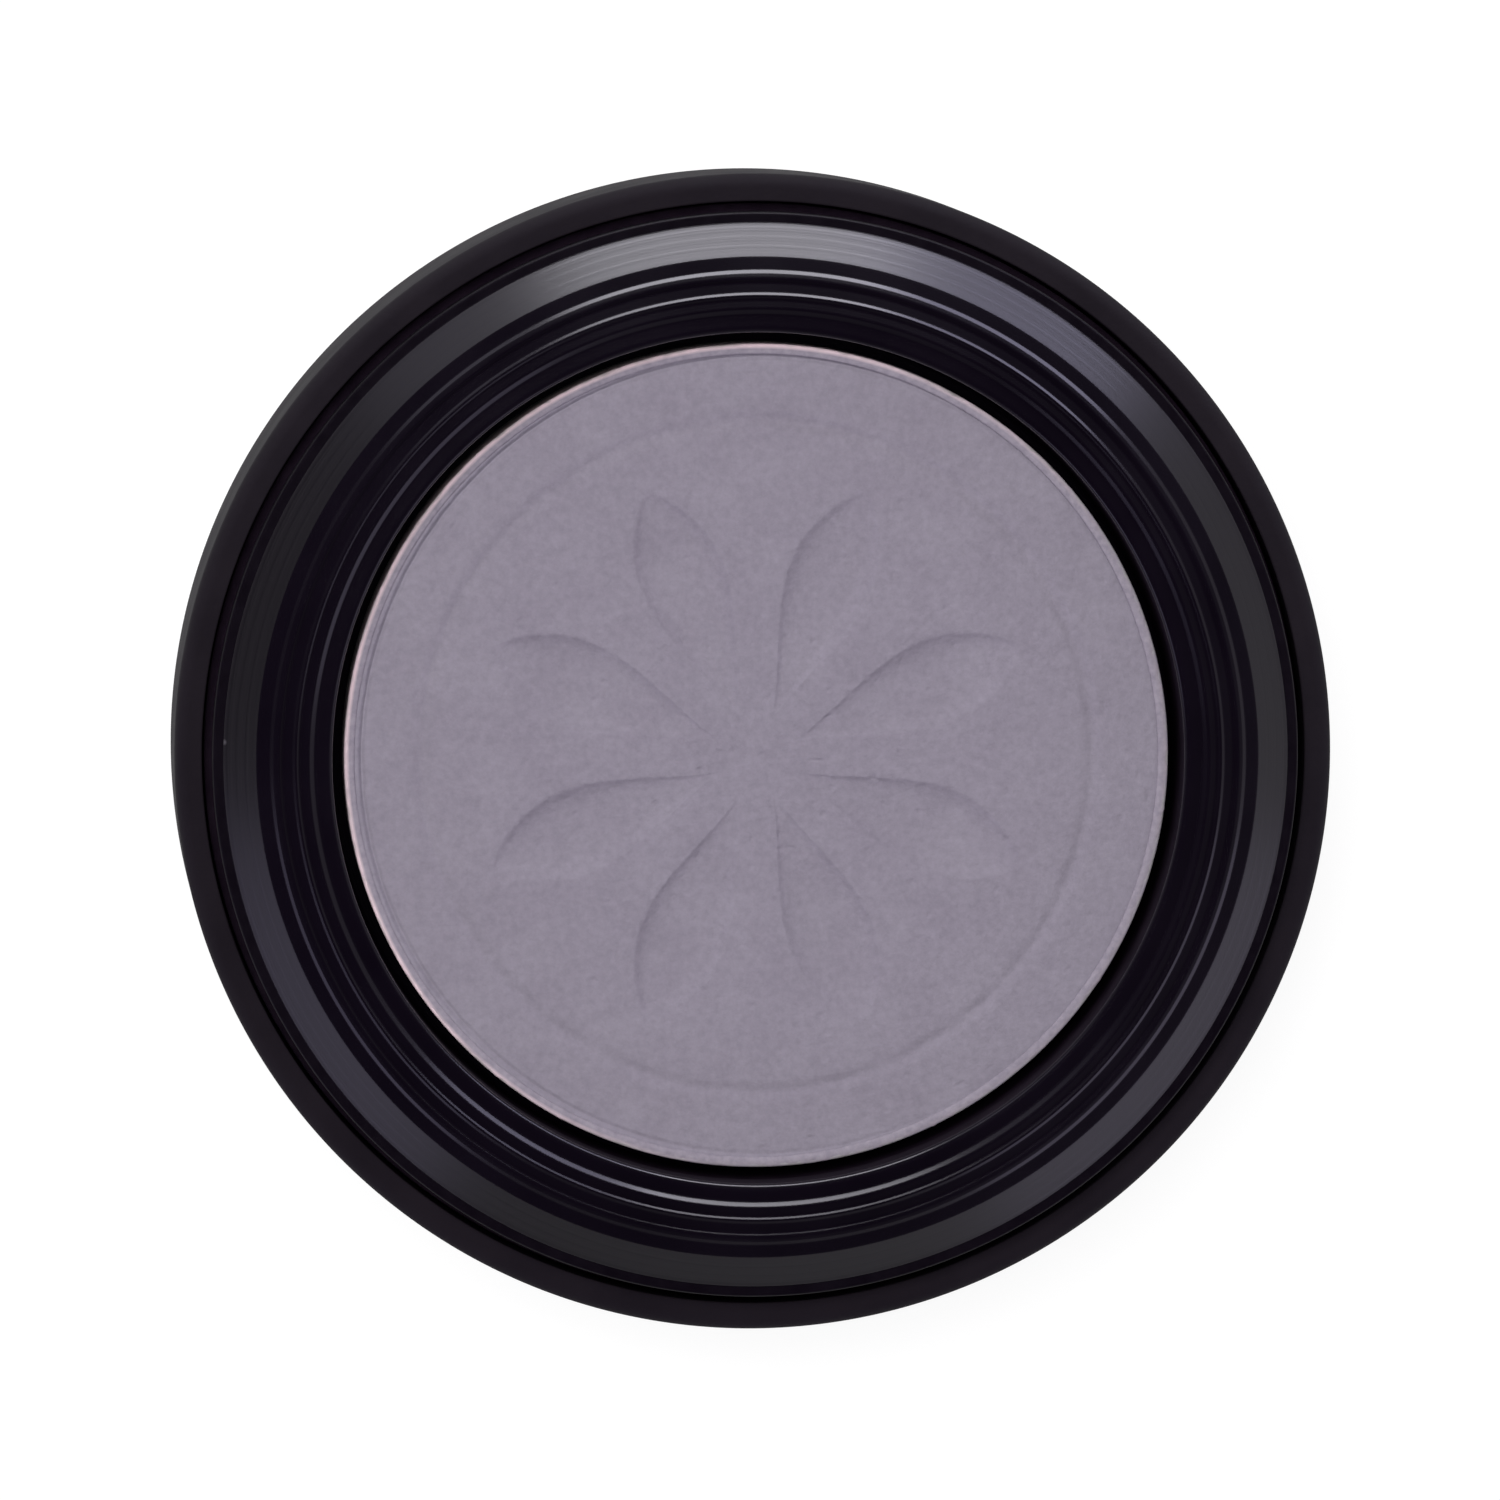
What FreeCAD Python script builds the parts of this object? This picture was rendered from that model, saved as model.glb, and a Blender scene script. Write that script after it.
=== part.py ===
import FreeCAD, Part
import math
import os
import re
import Sketcher

# A round pressed powder pot with its lid off. Millimetres, +Z up.
# The origin is the middle of the foot's plane, so the pot stands on Z = 0.

doc = FreeCAD.newDocument("PowderPot")

# Driving sizes, one row of the sheet each. Radii build outwards from the pan, and heights build up
# from the table to the crown and then down again to the lip.
SIZES = {
    # Pan, its pad and the powder
    "pan_radius": 13.0,
    "pan_height": 3.2,
    "pan_sheet": 0.28,
    "pan_corner": 0.8,
    "pad_radius": 8.0,
    "pad_thickness": 0.2,
    "cake_clearance": 0.05,
    "cake_sink": 0.06,
    "cake_chamfer": 0.15,
    # Collar, from the well out to the neck
    "pan_clearance": 0.4,
    "rim_recess": 1.4,
    "well_floor": 1.0,
    "well_lift": 1.6,
    "well_edge_round": 0.16,
    "crown_width": 2.02,
    "crown_rise": 0.6,
    "crown_apex": 0.8,
    "dome_drop": 0.34,
    "flute_count": 4,
    "flute_depth": 0.07,
    "first_flute": 0.34,
    "last_flute_share": 0.55,
    "quirk_width": 0.34,
    "bevel_width": 1.03,
    "bevel_rise": 0.8,
    "bevel_round": 0.28,
    "bevel_step": 0.06,
    "bead_ledge": 0.24,
    "bead_round": 0.1,
    "bead_land": 0.69,
    "bead_lift": 0.15,
    "neck_undercut": 0.2,
    "collar_wall": 1.1,
    "roof_thickness": 1.3,
    "web_count": 8,
    "web_thickness": 0.8,
    # Outer cup
    "seam_gap": 0.3,
    "seam_depth": 1.0,
    "lip_width": 0.87,
    "lip_round": 0.8,
    "foot_round": 0.9,
    "foot_width": 1.5,
    "foot_height": 0.4,
    "floor_thickness": 1.2,
    # Snap ring that holds the collar in the cup
    "skirt_clearance": 0.08,
    "snap_rise": 1.9,
    "snap_width": 0.9,
    "snap_depth": 0.2,
    "snap_clearance": 0.08,
    # Keys on the cup's floor that stop the collar from turning
    "key_count": 3,
    "key_width": 1.6,
    "key_depth": 0.8,
    "key_height": 1.0,
    "key_clearance": 0.12,
}

sheet = doc.addObject("Spreadsheet::Sheet", "Sizes")
for row, (alias, size) in enumerate(SIZES.items(), start=1):
    sheet.set(f"A{row}", alias)
    sheet.set(f"B{row}", str(size))
    sheet.setAlias(f"B{row}", alias)
doc.recompute()


def bound(formula):
    """The formula with each size's name pointing at its cell."""
    return re.sub(r"[a-z_]+", lambda word: "Sizes." + word[0] if word[0] in SIZES else word[0], formula)


def value(formula):
    return float(sheet.evalExpression(bound(formula)))


# Radii that several pieces share, from the pan outwards, as formulas of the sizes.
PAN_INSIDE = "(pan_radius - pan_sheet)"
WELL_RADIUS = "(pan_radius + pan_clearance)"
CROWN_OUTER = f"({WELL_RADIUS} + crown_width)"
BEVEL_INNER = f"({CROWN_OUTER} + quirk_width)"
BEVEL_OUTER = f"({BEVEL_INNER} + bevel_width)"
LEDGE_OUTER = f"({BEVEL_OUTER} + bead_ledge)"
NECK_RADIUS = f"({LEDGE_OUTER} + bead_round)"
BORE_RADIUS = f"({NECK_RADIUS} + seam_gap)"
SKIRT_RADIUS = f"({BORE_RADIUS} - skirt_clearance)"
SKIRT_INSIDE = f"({SKIRT_RADIUS} - collar_wall)"
SHELL_RADIUS = f"({BORE_RADIUS} + lip_width)"

# Heights, from the table up to the crown.
FLOOR_TOP = "(foot_height + floor_thickness)"
SNAP_HEIGHT = f"({FLOOR_TOP} + snap_rise)"
WELL_UNDERSIDE = f"({FLOOR_TOP} + well_lift)"
WELL_FLOOR_TOP = f"({WELL_UNDERSIDE} + well_floor)"
PAN_BOTTOM = f"({WELL_FLOOR_TOP} + pad_thickness)"
PAN_RIM = f"({PAN_BOTTOM} + pan_height)"
CROWN_TOP = f"({PAN_RIM} + rim_recess)"

# Heights, from the crown down to the lip of the cup.
BEVEL_TOP = f"({CROWN_TOP} - crown_rise)"
BEVEL_FOOT = f"({BEVEL_TOP} - bevel_rise)"
LEDGE_HEIGHT = f"({BEVEL_FOOT} - bevel_step)"
BEAD_TOP = f"({LEDGE_HEIGHT} - bead_round)"
BEAD_BASE = f"({BEAD_TOP} - bead_land)"
SHELL_HEIGHT = f"({BEAD_BASE} - bead_lift)"
SHOULDER_HEIGHT = f"({SHELL_HEIGHT} - seam_depth)"


def make_body(label):
    body = doc.addObject("PartDesign::Body", label)
    body.Label = label
    return body


def origin_feature(body, role):
    return next(feature for feature in body.Origin.OriginFeatures if feature.Role == role)


class Outline:
    """A closed sketch outline drawn corner by corner, each corner bound to the sheet."""

    def __init__(self, body, name, role):
        self.sketch = body.newObject("Sketcher::SketchObject", name)
        self.sketch.AttachmentSupport = [(origin_feature(body, role), "")]
        self.sketch.MapMode = "FlatFace"
        self.corners = []
        self.arcs = {}

    def start(self, across, up):
        self.corners.append((across, up))

    def line_to(self, across, up):
        self.corners.append((across, up))

    def arc_to(self, across, up, radius, left):
        """An arc that swells to the left or the right of the way it is drawn."""
        self.arcs[len(self.corners) - 1] = (radius, left)
        self.corners.append((across, up))

    def edge_between(self, index, begin, end):
        if index not in self.arcs:
            return Part.LineSegment(begin, end)
        radius, left = self.arcs[index]
        half_chord = (end - begin).Length / 2
        swell = value(radius) - math.sqrt(max(value(radius) ** 2 - half_chord ** 2, 0))
        sideways = FreeCAD.Vector(begin.y - end.y, end.x - begin.x, 0).normalize()
        middle = (begin + end) / 2 + sideways * (swell if left else -swell)
        return Part.Arc(begin, middle, end)

    def close(self):
        points = [FreeCAD.Vector(value(across), value(up), 0) for across, up in self.corners]
        ends = []
        for index, begin in enumerate(points):
            edge = self.edge_between(index, begin, points[(index + 1) % len(points)])
            geometry = self.sketch.addGeometry(edge, False)
            forward = self.sketch.getPoint(geometry, 1).distanceToPoint(begin) < 1e-6
            ends.append((1, 2) if forward else (2, 1))
        for index, (first, last) in enumerate(ends):
            after = (index + 1) % len(points)
            self.sketch.addConstraint(Sketcher.Constraint("Coincident", index, last, after, ends[after][0]))
        for index, (across, up) in enumerate(self.corners):
            corner = ends[index][0]
            self.bind("DistanceX", across, -1, 1, index, corner, points[index].x)
            self.bind("DistanceY", up, -1, 1, index, corner, points[index].y)
        for index, (radius, left) in self.arcs.items():
            self.bind("Radius", radius, index, value(radius))
        doc.recompute()
        return self.sketch

    def bind(self, kind, formula, *where):
        constraint = self.sketch.addConstraint(Sketcher.Constraint(kind, *where))
        self.sketch.setExpression(f"Constraints[{constraint}]", bound(formula))


def revolve(body, name, sketch):
    turned = body.newObject("PartDesign::Revolution", name)
    turned.Profile = sketch
    turned.ReferenceAxis = (sketch, ["V_Axis"])
    turned.Angle = 360
    doc.recompute()
    return turned


def radial_bar(body, name, inner, outer, width, base):
    """A rectangle along +X, level with base, from which a key, notch or web is raised or cut."""
    bar = Outline(body, name, "XY_Plane")
    bar.start(inner, f"-{width} / 2")
    bar.line_to(outer, f"-{width} / 2")
    bar.line_to(outer, f"{width} / 2")
    bar.line_to(inner, f"{width} / 2")
    bar.sketch.setExpression("AttachmentOffset.Base.z", bound(base))
    return bar.close()


def repeat_round(body, name, feature, count):
    ring = body.newObject("PartDesign::PolarPattern", name)
    ring.Originals = [feature]
    ring.Axis = (origin_feature(body, "Z_Axis"), [""])
    ring.Angle = 360
    ring.setExpression("Occurrences", bound(count))
    body.Tip = ring
    doc.recompute()
    return ring


def raise_bars(body, name, sketch, height, count):
    pad = body.newObject("PartDesign::Pad", name)
    pad.Profile = sketch
    pad.setExpression("Length", bound(height))
    doc.recompute()
    repeat_round(body, name + "Ring", pad, count)


def cut_bars(body, name, sketch, height, count):
    before = body.Shape.Volume
    pocket = body.newObject("PartDesign::Pocket", name)
    pocket.Profile = sketch
    pocket.Reversed = True
    pocket.setExpression("Length", bound(height))
    doc.recompute()
    repeat_round(body, name + "Ring", pocket, count)
    if body.Shape.Volume >= before:
        raise RuntimeError(f"{name} cuts nothing from {body.Label}")


# Radius of an arc from its chord and how far it swells.
def arc_radius(chord_squared, swell):
    return f"(({chord_squared}) / (8 * {swell}) + {swell} / 2)"


# The outer cup: a foot ring, a floor raised inside it, and a wall with a snap groove.
def make_base_shell():
    body = make_body("base_shell")
    foot_outer = f"({SHELL_RADIUS} - foot_round)"
    foot_inner = f"({foot_outer} - foot_width)"
    groove_half = "(snap_width / 2 + snap_clearance)"
    groove_depth = "(snap_depth + snap_clearance - skirt_clearance)"
    groove_radius = f"({BORE_RADIUS} + {groove_depth})"
    profile = Outline(body, "ShellProfile", "XZ_Plane")
    profile.start("0", "foot_height")
    profile.line_to(f"{foot_inner} - foot_height", "foot_height")
    profile.line_to(foot_inner, "0")
    profile.line_to(foot_outer, "0")
    profile.arc_to(SHELL_RADIUS, "foot_round", "foot_round", left=False)
    profile.line_to(SHELL_RADIUS, f"{SHELL_HEIGHT} - lip_round")
    profile.arc_to(f"{SHELL_RADIUS} - lip_round", SHELL_HEIGHT, "lip_round", left=False)
    profile.line_to(BORE_RADIUS, SHELL_HEIGHT)
    profile.line_to(BORE_RADIUS, f"{SNAP_HEIGHT} + {groove_half}")
    profile.line_to(groove_radius, f"{SNAP_HEIGHT} + {groove_half} - {groove_depth}")
    profile.line_to(groove_radius, f"{SNAP_HEIGHT} - {groove_half} + {groove_depth}")
    profile.line_to(BORE_RADIUS, f"{SNAP_HEIGHT} - {groove_half}")
    profile.line_to(BORE_RADIUS, FLOOR_TOP)
    profile.line_to("0", FLOOR_TOP)
    revolve(body, "Cup", profile.close())
    key_inner = f"{BORE_RADIUS} - key_depth"
    key_outer = f"{BORE_RADIUS} + lip_width / 2"
    key = radial_bar(body, "KeyOutline", key_inner, key_outer, "key_width", FLOOR_TOP)
    raise_bars(body, "Key", key, "key_height", "key_count")
    return body


# Crests of the fluted crown, from its outer foot to the well's edge. They lie on a dome whose top is a
# little outside the well. The first flute climbs from the quirk, and the last is the narrowest.
def flute_crests():
    apex = f"({WELL_RADIUS} + crown_apex)"
    pitch = "((crown_width - first_flute - well_edge_round) / (flute_count - 2 + last_flute_share))"
    radii = []
    for index in range(SIZES["flute_count"] - 1):
        radii.append(f"({CROWN_OUTER} - first_flute - {index} * {pitch})")
    radii.append(f"({WELL_RADIUS} + well_edge_round)")
    crests = [(CROWN_OUTER, BEVEL_TOP)]
    for radius in radii:
        share = f"(({radius} - {apex}) / ({CROWN_OUTER} - {apex}))"
        crests.append((radius, f"({CROWN_TOP} - dome_drop * {share}^2)"))
    return crests


# The collar: a skirt that snaps into the cup, the lid's neck, a bevel, a fluted crown and the pan's well.
# Underneath it is hollow, with webs between the skirt and the well's wall.
def make_collar():
    body = make_body("collar")
    well_outside = f"({WELL_RADIUS} + collar_wall)"
    neck_root = f"({NECK_RADIUS} - neck_undercut)"
    snap_radius = f"({SKIRT_RADIUS} + snap_depth)"
    profile = Outline(body, "CollarProfile", "XZ_Plane")
    profile.start("0", WELL_UNDERSIDE)
    profile.line_to(WELL_RADIUS, WELL_UNDERSIDE)
    profile.line_to(WELL_RADIUS, FLOOR_TOP)
    profile.line_to(well_outside, FLOOR_TOP)
    profile.line_to(well_outside, f"{CROWN_TOP} - roof_thickness")
    profile.line_to(SKIRT_INSIDE, f"{BEVEL_FOOT} - roof_thickness")
    profile.line_to(SKIRT_INSIDE, FLOOR_TOP)
    profile.line_to(SKIRT_RADIUS, FLOOR_TOP)
    profile.line_to(SKIRT_RADIUS, f"{SNAP_HEIGHT} - snap_width / 2")
    profile.line_to(snap_radius, f"{SNAP_HEIGHT} - snap_width / 2 + snap_depth")
    profile.line_to(snap_radius, f"{SNAP_HEIGHT} + snap_width / 2 - snap_depth")
    profile.line_to(SKIRT_RADIUS, f"{SNAP_HEIGHT} + snap_width / 2")
    profile.line_to(SKIRT_RADIUS, SHOULDER_HEIGHT)
    profile.line_to(neck_root, SHOULDER_HEIGHT)
    profile.line_to(neck_root, f"{BEAD_BASE} - neck_undercut")
    profile.line_to(NECK_RADIUS, BEAD_BASE)
    profile.line_to(NECK_RADIUS, BEAD_TOP)
    profile.arc_to(LEDGE_OUTER, LEDGE_HEIGHT, "bead_round", left=False)
    profile.line_to(BEVEL_OUTER, LEDGE_HEIGHT)
    profile.line_to(BEVEL_OUTER, BEVEL_FOOT)
    slant = "sqrt(bevel_width^2 + bevel_rise^2)"
    reach = f"(bevel_round * bevel_rise / (bevel_width + {slant}))"
    across = f"{BEVEL_INNER} + {reach} * bevel_width / {slant}"
    up = f"{BEVEL_TOP} - {reach} * bevel_rise / {slant}"
    profile.line_to(across, up)
    profile.arc_to(f"{BEVEL_INNER} - {reach}", BEVEL_TOP, "bevel_round", left=False)
    crests = flute_crests()
    profile.line_to(*crests[0])
    for (outer_radius, outer_height), (inner_radius, inner_height) in zip(crests, crests[1:]):
        chord_squared = f"({outer_radius} - {inner_radius})^2 + ({outer_height} - {inner_height})^2"
        profile.arc_to(inner_radius, inner_height, arc_radius(chord_squared, "flute_depth"), left=True)
    well_edge = f"{crests[-1][1]} - well_edge_round"
    profile.arc_to(WELL_RADIUS, well_edge, "well_edge_round", left=False)
    profile.line_to(WELL_RADIUS, WELL_FLOOR_TOP)
    profile.line_to("0", WELL_FLOOR_TOP)
    revolve(body, "Ring", profile.close())
    notch_height = "(key_height + key_clearance)"
    web_foot = f"({FLOOR_TOP} + {notch_height})"
    web_inner = f"{well_outside} - collar_wall / 2"
    web_outer = f"{SKIRT_INSIDE} + collar_wall / 2"
    web = radial_bar(body, "WebOutline", web_inner, web_outer, "web_thickness", web_foot)
    raise_bars(body, "Web", web, f"{BEVEL_FOOT} - roof_thickness / 2 - {web_foot}", "web_count")
    notch_width = "(key_width + 2 * key_clearance)"
    notch_inner = f"{SKIRT_INSIDE} - key_clearance"
    notch = radial_bar(body, "NotchOutline", notch_inner, SHELL_RADIUS, notch_width, FLOOR_TOP)
    cut_bars(body, "Notch", notch, notch_height, "key_count")
    return body


# The low-tack pad between the well's floor and the pan.
def make_adhesive_disc():
    pad = doc.addObject("Part::Cylinder", "adhesive_disc")
    pad.Label = "adhesive_disc"
    pad.setExpression("Radius", bound("pad_radius"))
    pad.setExpression("Height", bound("pad_thickness"))
    pad.setExpression("Placement.Base.z", bound(WELL_FLOOR_TOP))
    doc.recompute()
    return pad


# The pan: a shallow dish drawn from thin sheet, with a round corner and an edge trimmed square.
def make_pan():
    body = make_body("pan")
    profile = Outline(body, "PanProfile", "XZ_Plane")
    profile.start("0", PAN_BOTTOM)
    profile.line_to("pan_radius - pan_corner", PAN_BOTTOM)
    profile.arc_to("pan_radius", f"{PAN_BOTTOM} + pan_corner", "pan_corner", left=False)
    profile.line_to("pan_radius", PAN_RIM)
    profile.line_to(PAN_INSIDE, PAN_RIM)
    profile.line_to(PAN_INSIDE, f"{PAN_BOTTOM} + pan_corner")
    profile.arc_to("pan_radius - pan_corner", f"{PAN_BOTTOM} + pan_sheet", "pan_corner - pan_sheet", left=True)
    profile.line_to("0", f"{PAN_BOTTOM} + pan_sheet")
    revolve(body, "Dish", profile.close())
    return body


# The powder, pressed flat in the pan a little under its edge.
def make_powder_cake():
    body = make_body("powder_cake")
    bottom = f"({PAN_BOTTOM} + pan_sheet)"
    top = f"({PAN_RIM} - cake_sink)"
    radius = f"({PAN_INSIDE} - cake_clearance)"
    profile = Outline(body, "CakeProfile", "XZ_Plane")
    profile.start("0", bottom)
    profile.line_to(f"{radius} - pan_corner", bottom)
    profile.line_to(radius, f"{bottom} + pan_corner")
    profile.line_to(radius, f"{top} - cake_chamfer")
    profile.line_to(f"{radius} - cake_chamfer", top)
    profile.line_to("0", top)
    revolve(body, "Cake", profile.close())
    return body


pieces = [make_base_shell(), make_collar(), make_adhesive_disc(), make_pan(), make_powder_cake()]
doc.recompute()

for item in doc.Objects:
    if "Invalid" in item.State or "Error" in item.State:
        raise RuntimeError(f"{item.Label} did not build: {item.State}")
for piece in pieces:
    if piece.Shape.isNull() or not piece.Shape.isValid() or len(piece.Shape.Solids) != 1:
        raise RuntimeError(f"{piece.Label} is not one sound solid")

os.makedirs("parts", exist_ok=True)
for piece in pieces:
    piece.Shape.exportStep(f"parts/{piece.Label}.step")
    box = piece.Shape.BoundBox
    print(f"{piece.Label}: {piece.Shape.Volume:.1f} mm3, Z {box.ZMin:.3f} to {box.ZMax:.3f}, width {box.XLength:.3f}")
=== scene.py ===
import math

import bpy
import numpy as np
from mathutils import Matrix, Vector, noise


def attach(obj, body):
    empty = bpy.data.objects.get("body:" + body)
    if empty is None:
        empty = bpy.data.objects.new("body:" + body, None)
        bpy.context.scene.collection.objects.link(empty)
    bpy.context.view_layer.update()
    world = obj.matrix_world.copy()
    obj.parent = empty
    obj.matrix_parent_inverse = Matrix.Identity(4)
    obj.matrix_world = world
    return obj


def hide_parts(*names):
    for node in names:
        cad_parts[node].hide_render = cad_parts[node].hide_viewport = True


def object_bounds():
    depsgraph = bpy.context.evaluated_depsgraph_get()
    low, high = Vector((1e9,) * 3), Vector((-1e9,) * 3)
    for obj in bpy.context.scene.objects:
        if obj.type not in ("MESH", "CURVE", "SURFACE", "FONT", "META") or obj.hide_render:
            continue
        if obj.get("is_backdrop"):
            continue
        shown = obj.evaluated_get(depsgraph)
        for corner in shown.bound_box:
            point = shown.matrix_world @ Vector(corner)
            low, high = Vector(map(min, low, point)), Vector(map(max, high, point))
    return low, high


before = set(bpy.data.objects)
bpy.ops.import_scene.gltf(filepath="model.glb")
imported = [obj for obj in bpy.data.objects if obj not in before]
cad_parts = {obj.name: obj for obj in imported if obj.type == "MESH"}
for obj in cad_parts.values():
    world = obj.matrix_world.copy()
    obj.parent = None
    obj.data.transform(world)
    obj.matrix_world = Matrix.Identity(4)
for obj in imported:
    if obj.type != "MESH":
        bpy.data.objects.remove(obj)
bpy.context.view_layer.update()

# Outer cup
# A matte black cup, injection moulded in one piece: a foot ring, a floor, and a wall whose rounded
# lip is the plain band round the outside of the pot. A groove in its bore takes the collar's snap ring.
MM = 0.001
TURN_STEPS = 384
SHARP_DEGREES = 28
CUP_DARK = (0.0095, 0.0073, 0.0104)
CUP_LIGHT = (0.0132, 0.0103, 0.0141)
CUP_DUST = (0.06, 0.05, 0.06)
CUP_CORNERS = [
    # radius, height and edge rounding, in millimetres, from the middle of the underside
    (0.0, 0.55, 0.0),
    (0.75, 0.55, 0.08),
    (0.95, 0.40, 0.08),
    (15.50, 0.40, 0.06),
    (15.90, 0.00, 0.10),
    (18.30, 0.00, 0.90),
    (18.30, 6.60, 0.80),
    (17.43, 6.60, 0.06),
    (17.43, 4.03, 0.03),
    (17.63, 3.83, 0.03),
    (17.63, 3.17, 0.03),
    (17.43, 2.97, 0.03),
    (17.43, 1.60, 0.10),
    (0.0, 1.60, 0.0),
]


def eased(corners):
    """The outline through these corners with each edge rounded, as moulded and drawn edges are."""
    support = 0.03
    outline = [corners[0][:2]]
    for before, corner, after in zip(corners, corners[1:], corners[2:]):
        here = Vector(corner[:2])
        back = Vector(before[:2]) - here
        ahead = Vector(after[:2]) - here
        turn = math.pi - back.angle(ahead)
        reach = min(corner[2] * math.tan(turn / 2), 0.48 * back.length, 0.48 * ahead.length)
        if reach < 1e-4:
            outline.append(tuple(here))
            continue
        radius = reach / math.tan(turn / 2)
        middle = here + (back.normalized() + ahead.normalized()).normalized() * math.hypot(reach, radius)
        start = here + back.normalized() * reach
        end = here + ahead.normalized() * reach
        if back.length > reach + 4 * support:
            outline.append(tuple(start + back.normalized() * support))
        steps = max(3, math.ceil(math.degrees(turn) / 9))
        first = math.atan2(start.y - middle.y, start.x - middle.x)
        sweep = math.atan2(end.y - middle.y, end.x - middle.x) - first
        sweep = (sweep + math.pi) % (2 * math.pi) - math.pi
        for step in range(steps + 1):
            angle = first + sweep * step / steps
            outline.append((middle.x + radius * math.cos(angle), middle.y + radius * math.sin(angle)))
        if ahead.length > reach + 4 * support:
            outline.append(tuple(end + ahead.normalized() * support))
    outline.append(corners[-1][:2])
    return outline


def turned(name, outline, finishes):
    """A piece of revolution from an outline that starts and ends on the axis. Each finish is a material
    with the radii and heights between which it lies; the first one covers the rest."""
    angles = np.linspace(0, 2 * math.pi, TURN_STEPS, endpoint=False)
    points = []
    rings = []
    for radius, height in outline:
        if radius < 1e-6:
            rings.append([len(points)])
            points.append((0, 0, height * MM))
            continue
        rings.append(range(len(points), len(points) + TURN_STEPS))
        points.extend((radius * MM * math.cos(a), radius * MM * math.sin(a), height * MM) for a in angles)
    faces = []
    for lower, upper in zip(rings, rings[1:]):
        for step in range(TURN_STEPS):
            after = (step + 1) % TURN_STEPS
            if len(lower) == 1:
                faces.append((lower[0], upper[after], upper[step]))
            elif len(upper) == 1:
                faces.append((lower[step], lower[after], upper[0]))
            else:
                faces.append((lower[step], lower[after], upper[after], upper[step]))
    mesh = bpy.data.meshes.new(name)
    mesh.from_pydata(points, [], faces)
    mesh.shade_smooth()
    mesh.set_sharp_from_angle(angle=math.radians(SHARP_DEGREES))
    for finish, *_ in finishes:
        mesh.materials.append(finish)
    for index, (finish, *limits) in enumerate(finishes[1:], start=1):
        inner, outer, low, high = (limit * MM for limit in limits)
        for face in mesh.polygons:
            middle = face.center
            if inner <= math.hypot(middle.x, middle.y) <= outer and low <= middle.z <= high:
                face.material_index = index
    piece = bpy.data.objects.new(name, mesh)
    bpy.context.scene.collection.objects.link(piece)
    return piece


def finish_nodes(name):
    """A new material, its nodes' adder, its links' adder and its shader."""
    material = bpy.data.materials.new(name)
    material.use_nodes = True
    tree = material.node_tree
    shader = tree.nodes["Principled BSDF"]

    def add(kind, **settings):
        node = tree.nodes.new("ShaderNode" + kind)
        for key, setting in settings.items():
            if hasattr(node, key):
                setattr(node, key, setting)
            else:
                node.inputs[key.replace("_", " ")].default_value = setting
        return node

    def join(start, end):
        tree.links.new(start, end)

    return material, add, join, shader


def grained(add, join, scale, detail=3.0, roughness=0.5):
    """Noise fixed to the piece, with its grain's size set by scale, in cycles a metre."""
    place = add("TexCoord")
    grain = add("TexNoise", Scale=scale, Detail=detail, Roughness=roughness)
    join(place.outputs["Object"], grain.inputs["Vector"])
    return grain.outputs["Fac"]


def spread(add, join, source, dark, light, low=0.3, high=0.7):
    """A ramp from one colour or grey to another, over the part of source between low and high."""
    fitted = add("MapRange", From_Min=low, From_Max=high)
    join(source, fitted.inputs["Value"])
    ramp = add("ValToRGB")
    for stop, shade in zip(ramp.color_ramp.elements, (dark, light)):
        stop.color = (*shade, 1) if isinstance(shade, tuple) else (shade, shade, shade, 1)
    join(fitted.outputs["Result"], ramp.inputs["Fac"])
    return ramp.outputs["Color"]


def dusted(add, join, plain, dust, threshold):
    """The plain colour with a few specks of dust on it, fewer as the threshold nears one."""
    place = add("TexCoord")
    cells = add("TexVoronoi", Scale=900.0)
    join(place.outputs["Object"], cells.inputs["Vector"])
    lone = add("TexWhiteNoise", noise_dimensions="3D")
    join(cells.outputs["Position"], lone.inputs["Vector"])
    rare = add("Math", operation="GREATER_THAN")
    rare.inputs[1].default_value = threshold
    join(lone.outputs["Value"], rare.inputs[0])
    small = add("MapRange", From_Min=0.10, From_Max=0.03)
    join(cells.outputs["Distance"], small.inputs["Value"])
    speck = add("Math", operation="MULTIPLY")
    join(rare.outputs[0], speck.inputs[0])
    join(small.outputs["Result"], speck.inputs[1])
    mixed = add("Mix", data_type="RGBA")
    join(speck.outputs[0], mixed.inputs["Factor"])
    join(plain, mixed.inputs["A"])
    mixed.inputs["B"].default_value = (*dust, 1)
    return mixed.outputs["Result"]


def roughened(add, join, shader, source, depth):
    """Fine relief from source, depth millimetres deep."""
    relief = add("Bump", Strength=1.0, Distance=depth * MM)
    join(source, relief.inputs["Height"])
    join(relief.outputs["Normal"], shader.inputs["Normal"])


cup_matte, add, join, shader = finish_nodes("cup_matte")
mottle = grained(add, join, 420.0)
cup_black = spread(add, join, mottle, CUP_DARK, CUP_LIGHT)
join(dusted(add, join, cup_black, CUP_DUST, 0.985), shader.inputs["Base Color"])
join(spread(add, join, mottle, 0.72, 0.84), shader.inputs["Roughness"])
shader.inputs["IOR"].default_value = 1.23
roughened(add, join, shader, grained(add, join, 5200.0, detail=4.0), 0.014)

cup = turned("cup", eased(CUP_CORNERS), [(cup_matte,)])
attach(cup, "pot")
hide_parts("base_shell")

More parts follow.
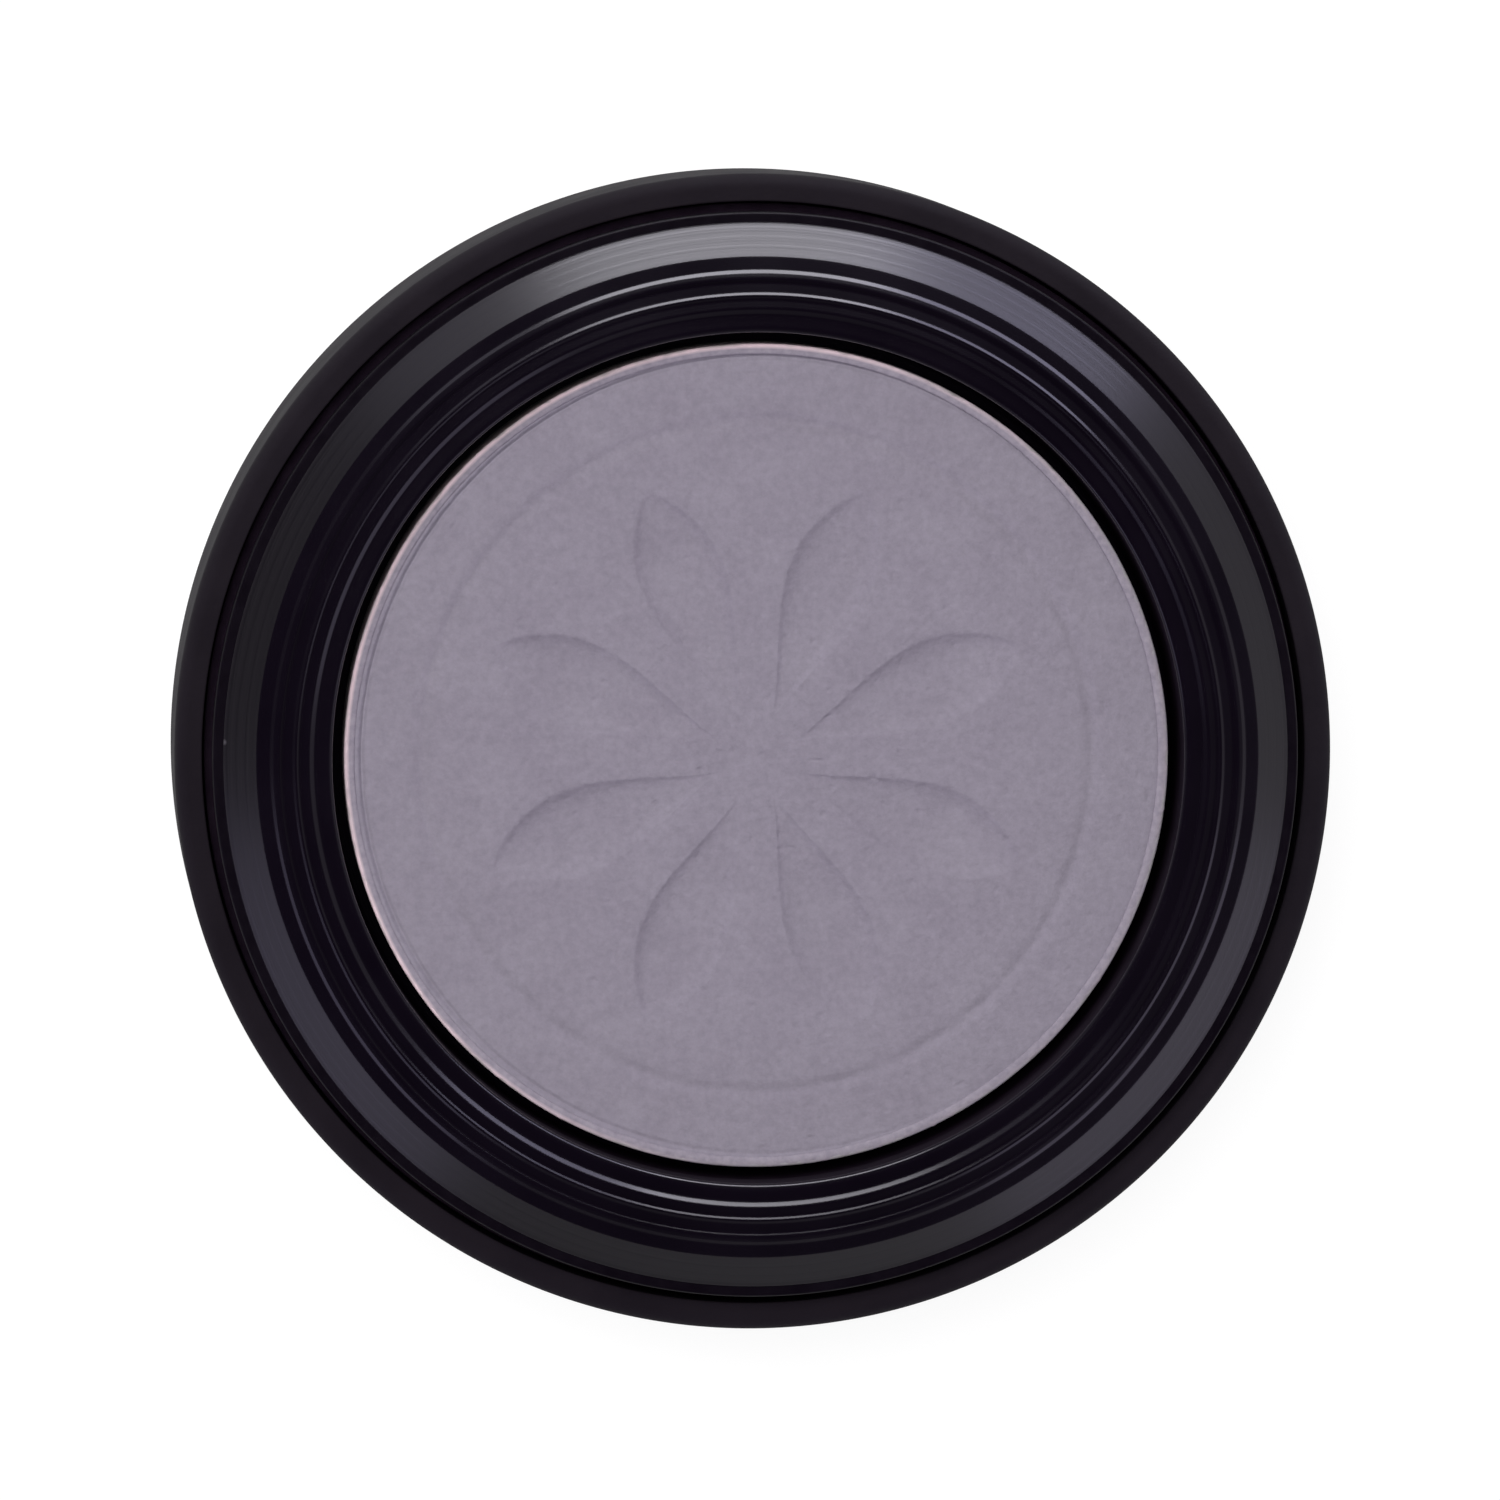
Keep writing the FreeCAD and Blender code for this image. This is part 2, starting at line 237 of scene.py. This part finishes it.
# Collar
# A polished black moulding that snaps into the cup. Going inwards it has the bead that the lid grips,
# a satin bevel, a crown of thin ridges, and the well that the pan drops into. Its recesses are matte and
# coloured lighter than the gloss, as painted light that lifts the shade in the seam and the gap round the
# pan.
WELL_RADIUS = 13.40
BEVEL_INNER = 15.76
BEVEL_OUTER = 16.79
BEVEL_TOP = 8.40
BEVEL_FOOT = 7.60
GLOSS_DARK = (0.0028, 0.0016, 0.0042)
GLOSS_LIGHT = (0.0042, 0.0026, 0.0060)
GLOSS_DUST = (0.05, 0.045, 0.055)
SATIN_DARK = (0.0036, 0.0026, 0.0046)
SATIN_LIGHT = (0.0062, 0.0048, 0.0072)
SATIN_DUST = (0.06, 0.055, 0.065)
NECK_DARK = (0.0034, 0.0022, 0.0044)
NECK_LIGHT = (0.0050, 0.0034, 0.0062)
# the recess colours are lighter than the gloss: painted light that lifts the shade in the seam and the
# well's gap
RECESS_DARK = (0.010, 0.006, 0.0115)
RECESS_LIGHT = (0.016, 0.010, 0.0175)
COLLAR_CORNERS = [
    # the hollow underside, from its middle
    (0.0, 3.20, 0.0),
    (13.40, 3.20, 0.05),
    (13.40, 1.60, 0.05),
    (14.50, 1.60, 0.05),
    (14.50, 7.69, 0.20),
    (16.25, 6.30, 0.20),
    (16.25, 1.60, 0.05),
    (17.35, 1.60, 0.10),
    # the snap ring
    (17.35, 3.05, 0.03),
    (17.55, 3.25, 0.03),
    (17.55, 3.75, 0.03),
    (17.35, 3.95, 0.03),
    # the seam, the neck and its bead
    (17.35, 5.60, 0.05),
    (16.93, 5.60, 0.05),
    (16.93, 6.55, 0.05),
    (17.13, 6.75, 0.05),
    (17.13, 7.54, 0.10),
    # the ledge and the bevel
    (BEVEL_OUTER, 7.54, 0.03),
    (BEVEL_OUTER, BEVEL_FOOT, 0.04),
    (BEVEL_INNER, BEVEL_TOP, 0.28),
    # the ridges of the crown
    (15.36, 8.57, 0.22),
    (15.25, 8.66, 0.24),
    (15.08, 8.75, 0.12),
    (14.96, 8.66, 0.08),
    (14.66, 8.79, 0.20),
    (14.57, 8.86, 0.14),
    (14.53, 8.87, 0.10),
    (14.43, 8.79, 0.08),
    (14.16, 8.91, 0.10),
    (13.95, 8.75, 0.10),
    # the well
    (WELL_RADIUS, 8.88, 0.20),
    (WELL_RADIUS, 4.20, 0.15),
    (0.0, 4.20, 0.0),
]


def off_axis(add, join):
    """The distance from the pot's axis."""
    place = add("TexCoord")
    flat = add("VectorMath", operation="MULTIPLY")
    flat.inputs[1].default_value = (1, 1, 0)
    join(place.outputs["Object"], flat.inputs[0])
    far = add("VectorMath", operation="LENGTH")
    join(flat.outputs["Vector"], far.inputs[0])
    return far.outputs["Value"]


def ringed(add, join, scale):
    """Noise that changes only with the distance from the axis, as marks from turning the mould do."""
    line = add("TexNoise", noise_dimensions="1D", Scale=scale, Detail=2.0)
    join(off_axis(add, join), line.inputs["W"])
    return line.outputs["Fac"]


collar_gloss, add, join, shader = finish_nodes("collar_gloss")
smudge = grained(add, join, 260.0)
gloss_black = spread(add, join, smudge, GLOSS_DARK, GLOSS_LIGHT)
join(dusted(add, join, gloss_black, GLOSS_DUST, 0.988), shader.inputs["Base Color"])
join(spread(add, join, smudge, 0.20, 0.25), shader.inputs["Roughness"])
shader.inputs["IOR"].default_value = 1.37
roughened(add, join, shader, ringed(add, join, 9000.0), 0.0012)

collar_satin, add, join, shader = finish_nodes("collar_satin")
rings = ringed(add, join, 14000.0)
satin_black = spread(add, join, rings, SATIN_DARK, SATIN_LIGHT)
join(dusted(add, join, satin_black, SATIN_DUST, 0.985), shader.inputs["Base Color"])
join(spread(add, join, rings, 0.31, 0.39), shader.inputs["Roughness"])
shader.inputs["IOR"].default_value = 1.47
shader.inputs["Anisotropic"].default_value = 0.45
shader.inputs["Anisotropic Rotation"].default_value = 0.25
turning = add("Tangent", direction_type="RADIAL", axis="Z")
join(turning.outputs["Tangent"], shader.inputs["Tangent"])
roughened(add, join, shader, rings, 0.002)

collar_neck, add, join, shader = finish_nodes("collar_neck")
scuffs = grained(add, join, 1800.0)
neck_black = spread(add, join, scuffs, NECK_DARK, NECK_LIGHT)
join(neck_black, shader.inputs["Base Color"])
join(spread(add, join, scuffs, 0.36, 0.48), shader.inputs["Roughness"])
shader.inputs["IOR"].default_value = 1.19
roughened(add, join, shader, ringed(add, join, 9000.0), 0.0015)

# A lighter black than the gloss, as painted light that lifts the shade in the seam and in the gap round
# the pan.
collar_recess, add, join, shader = finish_nodes("collar_recess")
recess_mottle = grained(add, join, 1500.0)
recess_black = spread(add, join, recess_mottle, RECESS_DARK, RECESS_LIGHT)
join(recess_black, shader.inputs["Base Color"])
join(spread(add, join, recess_mottle, 0.80, 0.92), shader.inputs["Roughness"])
shader.inputs["IOR"].default_value = 1.19
roughened(add, join, shader, grained(add, join, 5200.0), 0.004)

# each band's finish, its inner and outer radius, and its lowest and highest point
seam_floor = (collar_recess, 16.88, 17.40, 5.50, 6.56)
well_wall = (collar_recess, WELL_RADIUS - 0.02, WELL_RADIUS + 0.02, 4.30, 8.64)
neck_band = (collar_neck, 16.80, 17.20, 6.50, 7.58)
satin_band = (collar_satin, BEVEL_INNER, BEVEL_OUTER + 0.01, BEVEL_FOOT, BEVEL_TOP)
collar_finishes = [(collar_gloss,), seam_floor, well_wall, neck_band, satin_band]
collar = turned("collar_moulding", eased(COLLAR_CORNERS), collar_finishes)
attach(collar, "pot")
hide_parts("collar")

# Low-tack pad
# A thin die-cut disc of soft clear adhesive on the well's floor. It grips the pan's underside and
# stays behind when the pan is lifted out.
PAD_CLOUDED = (0.62, 0.58, 0.50)
PAD_CLEAR = (0.76, 0.73, 0.65)
low_tack, add, join, shader = finish_nodes("low_tack_gel")
cloud = grained(add, join, 700.0)
join(spread(add, join, cloud, PAD_CLOUDED, PAD_CLEAR), shader.inputs["Base Color"])
join(spread(add, join, cloud, 0.25, 0.42), shader.inputs["Roughness"])
shader.inputs["Subsurface Weight"].default_value = 0.3
shader.inputs["Subsurface Radius"].default_value = (0.0006, 0.0005, 0.0004)
roughened(add, join, shader, grained(add, join, 1500.0), 0.02)
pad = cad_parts["adhesive_disc"]
pad.material_slots[0].material = low_tack

# Pan
# A shallow dish drawn from thin tinplate, the standard refill size. It drops into the well on the pad,
# and pressing leaves dust on its edge and on the top of its wall. The dust is paler towards the back
# left, partly as thicker dust and partly as painted light on the side that the top box lights.
PAN_RADIUS = 13.00
PAN_INSIDE = 12.72
PAN_RIM = 7.60
PAN_BASE = 4.40
PAN_FLOOR = 4.68
PAN_CORNERS = [
    (0.0, PAN_BASE, 0.0),
    (PAN_RADIUS, PAN_BASE, 0.80),
    (PAN_RADIUS, PAN_RIM, 0.08),
    (PAN_INSIDE, PAN_RIM, 0.08),
    (PAN_INSIDE, PAN_FLOOR, 0.52),
    (0.0, PAN_FLOOR, 0.0),
]
TIN_DULL = (0.60, 0.58, 0.57)
TIN_BRIGHT = (0.72, 0.70, 0.69)
DUST_PALE = (0.76, 0.59, 0.65)
DUST_THIN_AND_SHADED = (0.27, 0.242, 0.295)
# the dust is paler towards this side, partly thicker dust and partly painted light from the top box's
# side
DUST_AND_LIGHT_SIDE = (-0.87, 0.5, 0.0)
DUST_FADE = 6.0
DUST_REACH = 2.6
DUST_FULL = 0.8


def across_pot(add, join, direction):
    """How far a point lies from the middle of the pot in this direction."""
    place = add("TexCoord")
    along = add("VectorMath", operation="DOT_PRODUCT")
    along.inputs[1].default_value = direction
    join(place.outputs["Object"], along.inputs[0])
    return along.outputs["Value"]


tinplate, add, join, shader = finish_nodes("pan_tinplate")
place = add("TexCoord")
height = add("SeparateXYZ")
join(place.outputs["Object"], height.inputs["Vector"])
near_edge = add("MapRange", From_Min=(PAN_RIM - DUST_REACH) * MM, From_Max=(PAN_RIM - DUST_FULL) * MM)
join(height.outputs["Z"], near_edge.inputs["Value"])
ragged = add("MapRange", From_Min=0.25, From_Max=0.6, To_Min=0.35, To_Max=1.0)
join(grained(add, join, 1900.0, detail=5.0), ragged.inputs["Value"])
dust = add("Math", operation="MULTIPLY")
join(near_edge.outputs["Result"], dust.inputs[0])
join(ragged.outputs["Result"], dust.inputs[1])
drawn = spread(add, join, grained(add, join, 900.0), TIN_DULL, TIN_BRIGHT)
edge_colour = add("Mix", data_type="RGBA")
join(dust.outputs[0], edge_colour.inputs["Factor"])
join(drawn, edge_colour.inputs["A"])
# Paler dust towards the back left: partly thicker dust, partly painted light on the side the top box
# lights.
thick_and_lit = add("MapRange", From_Min=-DUST_FADE * MM, From_Max=DUST_FADE * MM)
join(across_pot(add, join, DUST_AND_LIGHT_SIDE), thick_and_lit.inputs["Value"])
dust_colour = add("Mix", data_type="RGBA")
join(thick_and_lit.outputs["Result"], dust_colour.inputs["Factor"])
dust_colour.inputs["A"].default_value = (*DUST_THIN_AND_SHADED, 1)
dust_colour.inputs["B"].default_value = (*DUST_PALE, 1)
join(dust_colour.outputs["Result"], edge_colour.inputs["B"])
join(edge_colour.outputs["Result"], shader.inputs["Base Color"])
bare = add("MapRange", To_Min=1.0, To_Max=0.0)
join(dust.outputs[0], bare.inputs["Value"])
join(bare.outputs["Result"], shader.inputs["Metallic"])
edge_rough = add("MapRange", To_Min=0.30, To_Max=0.85)
join(dust.outputs[0], edge_rough.inputs["Value"])
join(edge_rough.outputs["Result"], shader.inputs["Roughness"])
roughened(add, join, shader, grained(add, join, 5000.0, detail=4.0), 0.006)

pan = turned("pan_dish", eased(PAN_CORNERS), [(tinplate,)])
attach(pan, "refill")
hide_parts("pan")

# Pressed powder
# Mauve-grey powder pressed into the pan by a die. The die leaves a crease just inside the pan's edge,
# a shallow ring and a plain rosette of eight scooped petals, all a little crumbly.
CAKE_TOP = 7.54
CAKE_RADIUS = 12.69
CREASE_RADIUS = 12.58
CREASE_SHIFT = 0.13
CREASE_DEPTH = 0.10
CREASE_WIDTH = 0.075
RING_RADIUS = 10.60
RING_DEPTH = 0.085
RING_WIDTH = 0.20
PETALS = 8
PETAL_START = 1.30
PETAL_END = 9.00
PETAL_HALF_WIDTH = 1.35
PETAL_DEPTH = 0.25
CAKE_STEPS = 640
CAKE_FOOT = 4.69
CAKE_SIDES = [(CAKE_RADIUS, 7.30), (CAKE_RADIUS, 5.50), (11.90, CAKE_FOOT)]
POWDER_DARK = (0.262, 0.234, 0.290)
POWDER_LIGHT = (0.296, 0.268, 0.326)

face_radii = np.linspace(0.06, 12.0, 200)
edge_radii = np.linspace(12.03, CAKE_RADIUS, 26)
cake_radii = np.concatenate([face_radii, edge_radii])
cake_angles = np.linspace(0, 2 * math.pi, CAKE_STEPS, endpoint=False)
radii, angles = np.meshgrid(cake_radii, cake_angles, indexing="ij")
across = radii * np.cos(angles)
along = radii * np.sin(angles)


def crumble(scale, seed):
    """Smooth noise over the cake's face, from about -1 to 1."""
    flat = zip(across.ravel() * scale, along.ravel() * scale)
    return np.array([noise.noise((x, y, seed)) for x, y in flat]).reshape(across.shape)


coarse = crumble(0.9, 3.1)
middling = crumble(2.7, 7.7)
fine = crumble(7.0, 1.3)
pits = np.clip(crumble(3.6, 12.9) - 0.42, 0, 1) * (0.6 + fine)
relief = 0.004 * coarse + 0.003 * fine - 0.16 * np.clip(pits, 0, 0.25)
ring_gap = radii - RING_RADIUS - 0.04 * middling
relief -= RING_DEPTH * (0.75 + 0.5 * coarse + 0.2 * middling) * np.exp(-(ring_gap / RING_WIDTH) ** 2)
for petal in range(PETALS):
    turn = 2 * math.pi * petal / PETALS + math.pi / PETALS
    outwards = across * math.cos(turn) + along * math.sin(turn)
    sideways = across * -math.sin(turn) + along * math.cos(turn)
    share = np.clip((outwards - PETAL_START) / (PETAL_END - PETAL_START), 0, 1)
    width = PETAL_HALF_WIDTH * np.sin(math.pi * share ** 1.5) ** 0.8 + 0.03 * fine
    inside = np.clip(1 - (sideways / np.maximum(width, 1e-3)) ** 4, 0, 1)
    relief -= PETAL_DEPTH * inside * np.clip(width / PETAL_HALF_WIDTH, 0, 1)
crease_gap = np.hypot(across - CREASE_SHIFT, along) - CREASE_RADIUS + 0.015 * middling
back_left = 0.5 - 0.37 * np.cos(angles) + 0.33 * np.sin(angles)
crease_share = 0.12 + 0.88 * back_left
relief -= CREASE_DEPTH * crease_share * np.exp(-(crease_gap / CREASE_WIDTH) ** 2)
relief += np.clip(crease_gap / 0.12, 0, 1) * crease_share * (0.02 + 0.02 * fine)

cake_points = [(0, 0, CAKE_TOP * MM)]
heights = CAKE_TOP + relief
face_points = zip(across.ravel(), along.ravel(), heights.ravel())
cake_points += [(x * MM, y * MM, z * MM) for x, y, z in face_points]
for radius, height in CAKE_SIDES:
    side_points = [(radius * math.cos(a), radius * math.sin(a), height) for a in cake_angles]
    cake_points += [(x * MM, y * MM, z * MM) for x, y, z in side_points]
cake_points.append((0, 0, CAKE_FOOT * MM))
ring_count = len(cake_radii) + len(CAKE_SIDES)
cake_faces = []
for step in range(CAKE_STEPS):
    after = (step + 1) % CAKE_STEPS
    cake_faces.append((0, 1 + step, 1 + after))
    for ring in range(ring_count - 1):
        low = 1 + ring * CAKE_STEPS
        high = low + CAKE_STEPS
        cake_faces.append((low + step, high + step, high + after, low + after))
    last = 1 + (ring_count - 1) * CAKE_STEPS
    cake_faces.append((last + step, len(cake_points) - 1, last + after))
cake_mesh = bpy.data.meshes.new("powder_face")
cake_mesh.from_pydata(cake_points, [], cake_faces)
cake_mesh.shade_smooth()

powder, add, join, shader = finish_nodes("pressed_powder")
mottle = grained(add, join, 520.0, detail=6.0, roughness=0.65)
powder_colour = spread(add, join, mottle, POWDER_DARK, POWDER_LIGHT, low=0.25, high=0.75)
speckle = grained(add, join, 4200.0, detail=5.0, roughness=0.65)
shade = spread(add, join, speckle, 0.81, 1.02, low=0.25, high=0.75)
tinted = add("Mix", data_type="RGBA", blend_type="MULTIPLY")
tinted.inputs["Factor"].default_value = 1.0
join(powder_colour, tinted.inputs["A"])
join(shade, tinted.inputs["B"])
join(tinted.outputs["Result"], shader.inputs["Base Color"])
join(spread(add, join, speckle, 0.86, 0.98), shader.inputs["Roughness"])
shader.inputs["Specular IOR Level"].default_value = 0.2
roughened(add, join, shader, grained(add, join, 6500.0, detail=5.0, roughness=0.6), 0.030)
cake_mesh.materials.append(powder)

cake = bpy.data.objects.new("powder_face", cake_mesh)
bpy.context.scene.collection.objects.link(cake)
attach(cake, "refill")
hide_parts("powder_cake")

# Powder on the rim
# Loose powder that the press leaves on the pan's edge: a thin broken crust, paler where it has dried
# on the outside of the edge, and pale more often towards the back left, where that is partly painted
# light.
CRUST_STEPS = 1200
CRUST_SHARES = [0.0, 0.12, 0.3, 0.5, 0.7, 0.88, 1.0]
CRUST_INNER = 12.67
CRUST_OUTER = 12.97
CRUST_HEIGHT = 0.035
CRUST_BED = PAN_RIM - 0.06
PALE_FROM = 12.83
PALE_FULL = 12.93
THIN_AND_SHADED_SIDE = -6.0
THICK_AND_LIT_SIDE = 5.0
CRUMB_DARK = (0.245, 0.218, 0.268)
CRUMB_LIGHT = (0.32, 0.285, 0.34)

crust_points = []
for step in range(CRUST_STEPS):
    angle = 2 * math.pi * step / CRUST_STEPS
    around = Vector((math.cos(angle), math.sin(angle), 0))
    lumps = noise.noise(around * 22.0) * 0.5 + noise.noise(around * 70.0) * 0.5
    outer = CRUST_OUTER + 0.05 * noise.noise(around * 45.0 + Vector((0, 0, 5)))
    for share in CRUST_SHARES:
        radius = CRUST_INNER + (outer - CRUST_INNER) * share
        swell = math.sin(math.pi * share) ** 0.6
        bits = 0.35 * noise.noise(around * 140.0 + Vector((0, 0, share * 3)))
        top = PAN_RIM - 0.03 + swell * (0.036 + CRUST_HEIGHT * max(0.0, 0.45 + lumps + bits))
        crust_points.append((around.x * radius * MM, around.y * radius * MM, top * MM))
    for radius in (outer, CRUST_INNER):
        crust_points.append((around.x * radius * MM, around.y * radius * MM, CRUST_BED * MM))
crust_row = len(CRUST_SHARES) + 2
crust_faces = []
for step in range(CRUST_STEPS):
    here = step * crust_row
    there = (step + 1) % CRUST_STEPS * crust_row
    for index in range(crust_row):
        after = (index + 1) % crust_row
        crust_faces.append((here + index, here + after, there + after, there + index))
crust_mesh = bpy.data.meshes.new("rim_powder")
crust_mesh.from_pydata(crust_points, [], crust_faces)
crust_mesh.shade_smooth()

crust_finish, add, join, shader = finish_nodes("rim_powder")
outside = add("MapRange", From_Min=PALE_FROM * MM, From_Max=PALE_FULL * MM)
join(off_axis(add, join), outside.inputs["Value"])
patches = add("MapRange", From_Min=0.30, From_Max=0.5)
join(grained(add, join, 330.0), patches.inputs["Value"])
# Pale crust more often towards the back left: partly thicker dust, partly painted light on the lit side.
heavier_and_lit = add("MapRange", From_Min=THIN_AND_SHADED_SIDE * MM, From_Max=THICK_AND_LIT_SIDE * MM, To_Min=0.1, To_Max=1.0)
join(across_pot(add, join, DUST_AND_LIGHT_SIDE), heavier_and_lit.inputs["Value"])
broken = add("Math", operation="MULTIPLY")
join(patches.outputs["Result"], broken.inputs[0])
join(heavier_and_lit.outputs["Result"], broken.inputs[1])
pale = add("Math", operation="MULTIPLY")
join(outside.outputs["Result"], pale.inputs[0])
join(broken.outputs[0], pale.inputs[1])
crust_colour = add("Mix", data_type="RGBA")
join(pale.outputs[0], crust_colour.inputs["Factor"])
crumbs = spread(add, join, grained(add, join, 5200.0), CRUMB_DARK, CRUMB_LIGHT)
join(crumbs, crust_colour.inputs["A"])
crust_colour.inputs["B"].default_value = (*DUST_PALE, 1)
join(crust_colour.outputs["Result"], shader.inputs["Base Color"])
join(spread(add, join, grained(add, join, 5200.0), 0.88, 0.98), shader.inputs["Roughness"])
shader.inputs["Specular IOR Level"].default_value = 0.2
roughened(add, join, shader, grained(add, join, 9000.0, detail=4.0), 0.01)
crust_mesh.materials.append(crust_finish)
crust = bpy.data.objects.new("rim_powder", crust_mesh)
bpy.context.scene.collection.objects.link(crust)
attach(crust, "refill")

# Floor
# A plain white sheet under the pot. It looks white to the camera and in reflections, and it keeps
# the pot's soft contact shadow.
FLOOR_HALF = 3.0
FLOOR_DROP = 0.00002
SHEET_PALE = (0.80, 0.80, 0.80)
SHEET_SHADED = (0.13, 0.13, 0.13)
SHEET_GLOW = 0.92
floor_mesh = bpy.data.meshes.new("floor")
floor_signs = [(-1, -1), (1, -1), (1, 1), (-1, 1)]
floor_corners = [(x * FLOOR_HALF, y * FLOOR_HALF, -FLOOR_DROP) for x, y in floor_signs]
floor_mesh.from_pydata(floor_corners, [], [(0, 1, 2, 3)])
floor = bpy.data.objects.new("floor", floor_mesh)
bpy.context.scene.collection.objects.link(floor)
floor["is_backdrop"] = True
white_sheet = bpy.data.materials.new("white_sheet")
white_sheet.use_nodes = True
tree = white_sheet.node_tree
tree.nodes.clear()
ray = tree.nodes.new("ShaderNodeLightPath")
seen = tree.nodes.new("ShaderNodeMath")
seen.operation = "MAXIMUM"
tree.links.new(ray.outputs["Is Camera Ray"], seen.inputs[0])
tree.links.new(ray.outputs["Is Glossy Ray"], seen.inputs[1])
seen_all = tree.nodes.new("ShaderNodeMath")
seen_all.operation = "MAXIMUM"
tree.links.new(seen.outputs[0], seen_all.inputs[0])
tree.links.new(ray.outputs["Is Transmission Ray"], seen_all.inputs[1])
paper = tree.nodes.new("ShaderNodeBsdfDiffuse")
paper.inputs["Color"].default_value = (*SHEET_PALE, 1)
thin_paper = tree.nodes.new("ShaderNodeBsdfDiffuse")
thin_paper.inputs["Color"].default_value = (*SHEET_SHADED, 1)
glow = tree.nodes.new("ShaderNodeEmission")
glow.inputs["Strength"].default_value = SHEET_GLOW
lit_paper = tree.nodes.new("ShaderNodeAddShader")
tree.links.new(thin_paper.outputs[0], lit_paper.inputs[0])
tree.links.new(glow.outputs[0], lit_paper.inputs[1])
sheet = tree.nodes.new("ShaderNodeMixShader")
tree.links.new(seen_all.outputs[0], sheet.inputs["Fac"])
tree.links.new(paper.outputs[0], sheet.inputs[1])
tree.links.new(lit_paper.outputs[0], sheet.inputs[2])
surface = tree.nodes.new("ShaderNodeOutputMaterial")
tree.links.new(sheet.outputs[0], surface.inputs["Surface"])
floor_mesh.materials.append(white_sheet)

# Studio light
# A violet-tinged surround that darkens overhead, three strips low at the back that show only in the
# gloss, two cards in front, and one box high at the back left that lights the powder.
HORIZON = (0.95, 0.87, 1.02)
OVERHEAD = (0.06, 0.052, 0.07)
SKY_LEVELS = [(0.20, 0.75), (0.45, 0.22), (0.70, 0.09)]
SKY_TINT = Vector((1.0, 0.93, 1.1))
LIGHT_SIDE = (0.28, 0.13, 0.0)
LIGHT_ROUND = 0.44
world = bpy.data.worlds.new("studio")
bpy.context.scene.world = world
world.use_nodes = True
tree = world.node_tree
background = tree.nodes["Background"]
look = tree.nodes.new("ShaderNodeTexCoord")
split = tree.nodes.new("ShaderNodeSeparateXYZ")
tree.links.new(look.outputs["Generated"], split.inputs["Vector"])
surround = tree.nodes.new("ShaderNodeValToRGB")
tree.links.new(split.outputs["Z"], surround.inputs["Fac"])
stops = surround.color_ramp.elements
stops[0].position = 0.0
stops[0].color = (*HORIZON, 1)
stops[1].position = 1.0
stops[1].color = (*OVERHEAD, 1)
for place, level in SKY_LEVELS:
    stop = stops.new(place)
    stop.color = (*SKY_TINT * level, 1)
lean = tree.nodes.new("ShaderNodeVectorMath")
lean.operation = "DOT_PRODUCT"
lean.inputs[1].default_value = LIGHT_SIDE
tree.links.new(look.outputs["Generated"], lean.inputs[0])
sides = tree.nodes.new("ShaderNodeMath")
sides.operation = "ADD"
sides.inputs[1].default_value = LIGHT_ROUND
tree.links.new(lean.outputs["Value"], sides.inputs[0])
both = tree.nodes.new("ShaderNodeMix")
both.data_type = "RGBA"
both.blend_type = "MULTIPLY"
both.inputs["Factor"].default_value = 1.0
tree.links.new(surround.outputs["Color"], both.inputs["A"])
tree.links.new(sides.outputs[0], both.inputs["B"])
tree.links.new(both.outputs["Result"], background.inputs["Color"])


def softbox(name, round_from_back, rise, distance, width, height, level, colour,
            mirrored=True, lit=True):
    """A rectangular soft light aimed at the pot. Its place is degrees round from the back and degrees up,
    and its level is the brightness of its face."""
    turn = math.radians(round_from_back)
    lift = math.radians(rise)
    way = Vector((math.sin(turn) * math.cos(lift), math.cos(turn) * math.cos(lift), math.sin(lift)))
    lamp = bpy.data.lights.new(name, "AREA")
    lamp.shape = "RECTANGLE"
    lamp.size = width
    lamp.size_y = height
    lamp.energy = level * math.pi * width * height
    lamp.color = colour
    box = bpy.data.objects.new(name, lamp)
    box.location = way * distance
    box.rotation_mode = "QUATERNION"
    box.rotation_quaternion = (-way).to_track_quat("-Z", "Y")
    box.visible_camera = False
    box.visible_glossy = mirrored
    box.visible_diffuse = lit
    bpy.context.scene.collection.objects.link(box)


softbox("back_strip", 0, 17, 0.6, 0.44, 0.16, 16.0, (0.93, 0.91, 1.0), lit=False)
softbox("back_right_strip", 34, 15, 0.6, 0.36, 0.14, 8.0, (0.74, 0.71, 1.0), lit=False)
softbox("back_left_strip", 322, 15, 0.6, 0.20, 0.14, 1.6, (0.85, 0.82, 1.0), lit=False)
softbox("front_right_card", 127, 8, 0.6, 0.52, 0.20, 1.4, (0.76, 0.68, 1.0))
softbox("front_left_card", 235, 8, 0.6, 0.50, 0.20, 2.0, (0.74, 0.67, 1.0))
softbox("top_box", 322, 70, 0.7, 0.42, 0.42, 10.0, (1.0, 1.0, 0.99), mirrored=False)

# Camera
# Almost straight above, leaning a little to the back and the left, with a long lens. It aims a little
# off the pot's axis, which sets the pot where it stands in the frame.
EYE_DISTANCE = 380.0
EYE_LEAN = Vector((-0.0685, 0.0785, 1.0)).normalized()
AIM = Vector((-0.222, 0.205, PAN_RIM))
FRAME_WIDTH = 47.2
eye = bpy.data.cameras.new("eye")
eye.sensor_width = 36.0
eye.lens = eye.sensor_width * EYE_DISTANCE / FRAME_WIDTH
eye.clip_start = 0.01
eye.clip_end = 20.0
camera = bpy.data.objects.new("eye", eye)
bpy.context.scene.collection.objects.link(camera)
sight = -EYE_LEAN
right = sight.cross(Vector((0, 1, 0))).normalized()
up = right.cross(sight)
camera.matrix_world = Matrix.Translation((AIM + EYE_LEAN * EYE_DISTANCE) * MM) @ Matrix(
    (right, up, -sight)
).transposed().to_4x4()
bpy.context.scene.camera = camera
bpy.context.scene.view_settings.view_transform = "Standard"

low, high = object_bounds()
